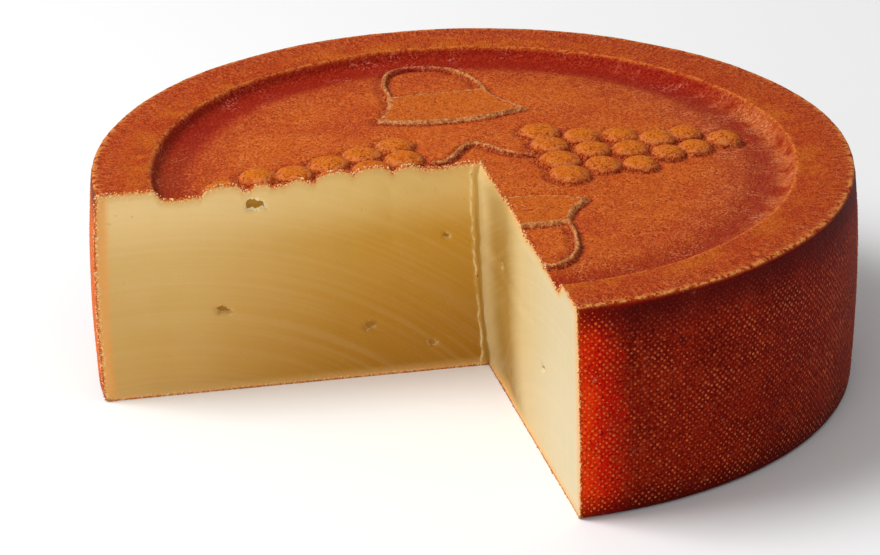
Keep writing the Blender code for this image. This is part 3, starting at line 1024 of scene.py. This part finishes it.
def pressed_paste():
    """Smooth cut paste: cream outside, straw to ochre inside with painted shade towards the corner,
    orange just under the rind.
    """
    paint = Paint("pressed_paste")
    step, blend, noise, times, mark = paint.step, paint.blend, paint.noise, paint.times, paint.mark
    coat, plus, less, stray, band = paint.coat, paint.plus, paint.less, paint.stray, paint.band
    x, y, z, r = paint.x, paint.y, paint.z, paint.r
    depth, eye = mark("rind_depth"), mark("eye")
    cloud = noise(34 * MM, 2, 0.5)
    grain = noise(0.8 * MM, 3, 0.65)
    pores = noise(2.6 * MM, 1, 0.4)
    speck = noise(2.0 * MM, 2, 0.6)

    # the right face: cream, with painted shade in ochre towards the corner and over the wide hollow near
    # it
    right_paste = blend(step(y, -0.045, -0.125), (0.63, 0.45, 0.19), (0.645, 0.53, 0.32))
    # painted shade over the wide hollow near the corner
    hollow = band(y, -0.004, -0.023, -0.068, -0.038)
    hollow = times(hollow, less(times(step(z, 0.06, 0.086), 0.35)))
    right_paste = blend(hollow, right_paste, (0.35, 0.19, 0.036))

    # the left face: pale under the top, straw to ochre farther down and towards the corner, partly its
    # own tone and partly painted shade of the notch's corner; orange beside the side's rind
    outward = step(r, 0.025, 0.13)
    paint.colour = blend(outward, (0.62, 0.32, 0.036), (0.74, 0.48, 0.165))
    coat((0.66, 0.37, 0.08), step(cloud, 0.42, 0.66), 0.25)
    # painted shade: darker ochre low down and towards the corner
    coat((0.41, 0.18, 0.012), step(z, 0.074, 0.002), less(times(outward, 0.55)))
    pale = blend(step(r, 0.02, 0.12), (0.8, 0.54, 0.18), (0.88, 0.62, 0.27))
    coat(pale, step(z, 0.057, 0.08), 0.9)
    side_depth = stray(mark("from_side"), cloud, 5 * MM)
    coat((0.86, 0.33, 0.035), step(side_depth, 6 * MM, 1.0 * MM), 0.8)

    # both faces: the knife's drag marks, pores and grain
    paint.colour = blend(mark("right_face"), paint.colour, right_paste)
    coat((0.9, 0.34, 0.075), step(r, 0.143, 0.15), 0.65)
    swing = paint.node("ShaderNodeVectorMath", {0: paint.place, 1: KNIFE_PIVOT}, operation='DISTANCE')
    drag = noise(1.0, 2, 0.6, paint.stretched((swing.outputs["Value"], 2.2 * MM), (z, 50 * MM)))
    coat((0.95, 0.8, 0.48), step(drag, 0.4, 0.7), 0.05)
    coat((0.55, 0.3, 0.07), step(pores, 0.25, 0.2), 0.3)
    coat((0.95, 0.85, 0.55), step(grain, 0.6, 0.75), 0.12)

    # the eyes: painted shade inside, with a pale torn rim on the high one
    near_eye = step(eye, 0.0, 0.15)
    eye = stray(eye, noise(1.6 * MM, 2, 0.6), times(near_eye, 1.3))
    torn = times(near_eye, band(eye, 0.02, 0.3, 0.72, 0.5), step(speck, 0.44, 0.56))
    high = plus(times(step(z, 0.058, 0.07), 0.75), 0.25)
    coat((0.46, 0.22, 0.024), step(eye, 0.5, 0.68))
    coat((0.98, 0.84, 0.54), torn, high, 0.85)

    # the ledge that the knife's second stroke left by the corner: painted shade on the strip between it
    # and the corner, a pale torn line with dark nicks
    ledge = stray(mark("ledge"), speck, 0.8 * MM)
    # painted shade on the strip between the ledge and the corner
    corner_shade_strip = times(step(ledge, 0.5 * MM, -0.2 * MM), step(z, 0.001, 0.004))
    coat((0.56, 0.35, 0.09), corner_shade_strip, 0.45)
    line = band(ledge, -0.50 * MM, -0.10 * MM, 0.50 * MM, 0.10 * MM)
    line = times(line, step(noise(5 * MM, 2, 0.5), 0.4, 0.56))
    coat((0.92, 0.72, 0.36), line, 0.6)
    nick = band(ledge, -1.3 * MM, -0.7 * MM, 1.5 * MM, 0.9 * MM)
    nick = times(nick, step(noise(4.5 * MM, 2, 0.6), 0.64, 0.69))
    coat((0.2, 0.06, 0.01), nick, 0.9)

    # just under the rind: a soft ochre band of painted shadow, then orange, with pale flakes
    ragged = stray(depth, grain, 3.0 * MM)
    # painted shadow: a soft ochre band along the rind
    coat((0.7, 0.42, 0.15), step(ragged, 5.0 * MM, 1.6 * MM), 0.55)
    coat((0.8, 0.36, 0.08), step(ragged, 2.2 * MM, 1.1 * MM), 0.85)
    flakes = times(step(depth, 2.6 * MM, 0.8 * MM), step(grain, 0.52, 0.6))
    coat((0.93, 0.72, 0.4), flakes, 0.85)
    coat((0.62, 0.13, 0.012), step(ragged, 0.9 * MM, 0.3 * MM))
    height = plus(times(drag, 0.8), times(grain, 0.35))
    paint.shader.inputs["Subsurface Weight"].default_value = 0.15
    paint.shader.inputs["Subsurface Scale"].default_value = 4 * MM
    paint.shader.inputs["Subsurface Radius"].default_value = (1.0, 0.6, 0.3)
    return paint.apply(plus(times(grain, 0.2), 0.36), paint.bump(height, 0.18 * MM), shine=0.12)


def pale_floor():
    paint = Paint("pale_floor")
    cloud = paint.noise(0.4, 2, 0.5)
    paint.colour = paint.blend(cloud, (0.90, 0.90, 0.90), (0.94, 0.94, 0.94))
    return paint.apply(0.7, paint.bump(cloud, 0.01 * MM))


# --- camera, light and floor ------------------------------------------------
VIEW_AZIMUTH = math.radians(-13.85)
VIEW_ELEVATION = math.radians(24.03)
VIEW_ROLL = math.radians(-0.57)
VIEW_DISTANCE = 2.25
VIEW_LENS = 231.6
AIM_RIGHT = -13.4 * MM
AIM_UP = 34.8 * MM


def place_camera():
    """A long lens from the front left, looking down a little, aimed just past the wheel's middle."""
    back = Vector((math.sin(VIEW_AZIMUTH) * math.cos(VIEW_ELEVATION),
                   -math.cos(VIEW_AZIMUTH) * math.cos(VIEW_ELEVATION), math.sin(VIEW_ELEVATION)))
    right = Vector((math.cos(VIEW_AZIMUTH), math.sin(VIEW_AZIMUTH), 0.0))
    data = bpy.data.cameras.new("camera")
    data.lens = VIEW_LENS
    data.sensor_width = 36.0
    camera = add_object("camera", data)
    camera.location = back * VIEW_DISTANCE
    aim = right * AIM_RIGHT + back.cross(right) * AIM_UP
    turn = (aim - camera.location).to_track_quat('-Z', 'Y').to_matrix()
    camera.rotation_euler = (turn @ Matrix.Rotation(VIEW_ROLL, 3, 'Z')).to_euler()
    bpy.context.scene.camera = camera


# name, place, size and power of each soft light
LIGHTS = (("key", (-1.1, 0.25, 1.5), 1.0, 31), ("fill", (-0.95, -1.7, 0.6), 1.2, 7))
WORLD_STRENGTH = 0.40
FLOOR_HALF_SIZE = 6.0


def add_area_light(name, place, size, power):
    data = bpy.data.lights.new(name, 'AREA')
    data.size = size
    data.energy = power
    light = add_object(name, data)
    light.location = place
    light.rotation_euler = (Vector((0, 0, 0.04)) - Vector(place)).to_track_quat('-Z', 'Y').to_euler()


def set_stage():
    far = FLOOR_HALF_SIZE
    corners = [(-far, -far, BASE), (far, -far, BASE), (far, far, BASE), (-far, far, BASE)]
    mesh = plain_mesh("floor", corners, [(0, 1, 2, 3)])
    mesh.materials.append(pale_floor())
    add_object("floor", mesh)
    world = bpy.data.worlds.new("studio")
    world.use_nodes = True
    background = world.node_tree.nodes["Background"]
    background.inputs["Color"].default_value = (1, 1, 1, 1)
    background.inputs["Strength"].default_value = WORLD_STRENGTH
    bpy.context.scene.world = world
    for light in LIGHTS:
        add_area_light(*light)
    bpy.context.scene.view_settings.view_transform = 'Standard'


skin, edges = build_skin()
wheel = make_wheel(skin, washed_rind(), pressed_paste())
dots = make_cloth_dots(wheel, print_dots())
crumbs = make_crumbs(skin, edges, dry_crumbs())
for piece in (wheel, dots, crumbs):
    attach(piece, "root")
    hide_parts(WHEEL)
place_camera()
set_stage()
